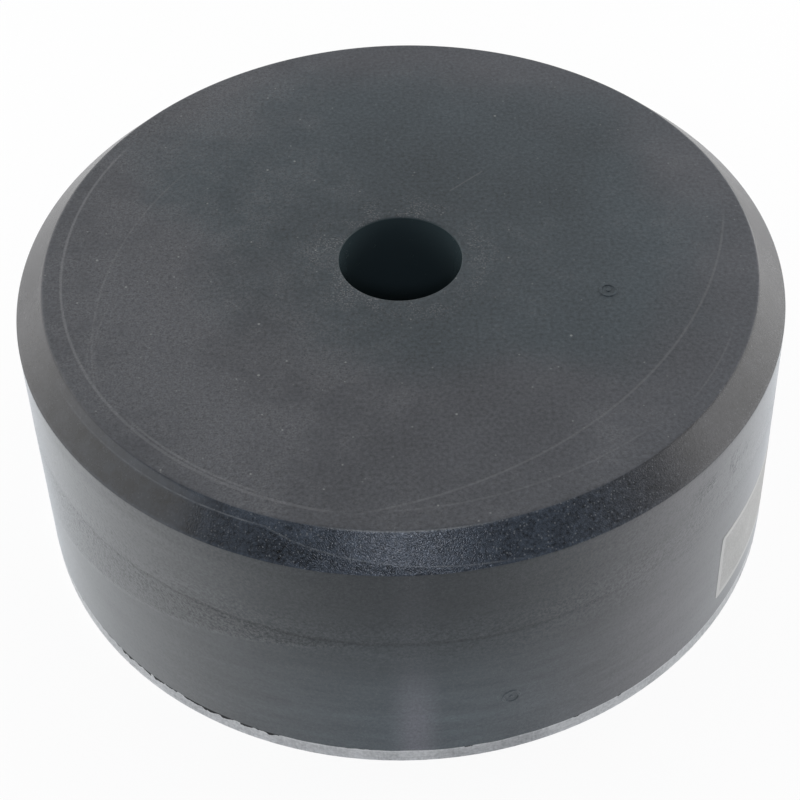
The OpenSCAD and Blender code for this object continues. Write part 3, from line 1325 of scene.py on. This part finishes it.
def make_floor():
    """A large white sheet under the buffer."""
    mesh = bmesh.new()
    bmesh.ops.create_grid(mesh, x_segments=1, y_segments=1, size=FLOOR_SIZE / 2)
    floor = make_piece("floor", mesh)
    material = bpy.data.materials.new("white sheet")
    material.use_nodes = True
    tree = material.node_tree
    tree.nodes.remove(tree.nodes["Principled BSDF"])
    start = Signal(tree)
    lit = start.node("ShaderNodeBsdfDiffuse", {}, {"Color": FLOOR_COLOUR})
    white = start.node("ShaderNodeEmission", {}, {"Strength": 1.0})
    seen = start.node("ShaderNodeLightPath", output="Is Camera Ray")
    mirrored = start.node("ShaderNodeLightPath", output="Is Glossy Ray")
    through = start.node("ShaderNodeLightPath", output="Is Transmission Ray")
    share = FLOOR_WHITE_SEEN * seen + FLOOR_WHITE_MIRRORED * (mirrored + through)
    start.node("ShaderNodeMixShader", {}, {0: share, 1: lit, 2: white}).feed(
        tree.nodes["Material Output"], "Surface"
    )
    paint(floor, material)
    return floor


print("floor:", make_floor().dimensions.x, "m wide")

# %% [markdown]
# The world lights by direction: brightest behind and beside the buffer, and dimmer towards the
# camera. Only the camera itself sees it plain white.

# %% Light the room
ROOM_LEVEL = 0.72
CAMERA_SIDE_LEVEL = 0.10


def light_room():
    """A world that is white to the camera and dimmer on the camera's side for everything else."""
    world = bpy.data.worlds.new("studio")
    bpy.context.scene.world = world
    world.use_nodes = True
    background = world.node_tree.nodes["Background"]
    start = Signal(world.node_tree)
    way = start.node("ShaderNodeTexCoord", output="Generated")
    forward = way.node("ShaderNodeSeparateXYZ", {}, {0: way}, "Y")
    seen = start.node("ShaderNodeLightPath", output="Is Camera Ray")
    dim = 1 - smoothstep(-0.75, 0.0, forward)
    level = ROOM_LEVEL - (ROOM_LEVEL - CAMERA_SIDE_LEVEL) * dim
    (level * (1 - seen) + seen).feed(background, "Strength")
    background.inputs["Color"].default_value = (1, 1, 1, 1)
    return world


print("world:", light_room().name)

# %% [markdown]
# A lamp's radiance is what a mirror would show of it. For an area lamp it is the power over pi times
# the area, so the helper takes the radiance, and the power follows.

# %% Hang the lamps


def hang_lamp(name, place, target, size, radiance, colour=(1, 1, 1)):
    """An area lamp that points at a target and that the camera can't see."""
    data = bpy.data.lights.new(name, "AREA")
    data.shape = "RECTANGLE"
    data.size, data.size_y = size
    data.energy = radiance * math.pi * size[0] * size[1]
    data.color = colour
    lamp = bpy.data.objects.new(name, data)
    aim = (Vector(place) - Vector(target)).to_track_quat("Z", "Y").to_matrix().to_4x4()
    lamp.matrix_world = Matrix.Translation(place) @ aim
    lamp.visible_camera = False
    bpy.context.scene.collection.objects.link(lamp)
    return lamp


MIDDLE = (0, 0, 0.05)
lamps = [
    hang_lamp("left_softbox", (-0.46, 0.09, 0.20), MIDDLE, (0.9, 0.38), 1.5),
    hang_lamp("right_softbox", (0.46, 0.16, 0.16), MIDDLE, (0.75, 0.30), 2.15),
    hang_lamp("overhead", (0, 0.35, 0.8), MIDDLE, (0.7, 0.7), 0.2),
    hang_lamp("camera_flash", (-0.03, -0.80, 0.74), MIDDLE, (0.20, 0.12), 22.0, (0.80, 0.86, 1.0)),
]
print("lamps:", ", ".join(lamp.name for lamp in lamps))
